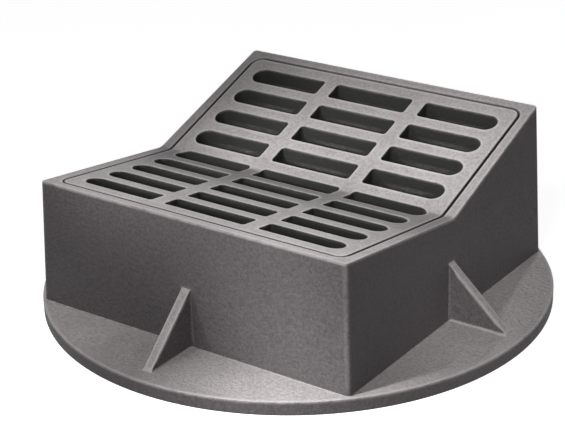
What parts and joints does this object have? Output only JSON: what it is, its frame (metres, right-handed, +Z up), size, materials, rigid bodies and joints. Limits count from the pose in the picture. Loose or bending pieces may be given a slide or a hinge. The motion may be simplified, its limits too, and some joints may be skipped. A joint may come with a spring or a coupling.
{
  "type": "gully grate",
  "caption": "Dished slotted gully grate lying in a square cast-iron frame with a round base flange and gusset ribs, for a road channel.",
  "frame": {"origin": "centre of the round flange's underside, the face that is bedded on the gully pot", "axes": "+Z up, +Y from the low front rim to the high back rim, +X to the right along the fold of the grate"},
  "size_m": [0.7969, 0.797, 0.2702],
  "materials": {
    "frame_iron": "matt sand-cast surface with a thin dull coat",
    "grate_iron": "matt sand-cast surface, paler than the frame's walls"
  },
  "bodies": {
    "root": {"frame": "frame_iron", "grate": "grate_iron"}
  },
  "joints": []
}
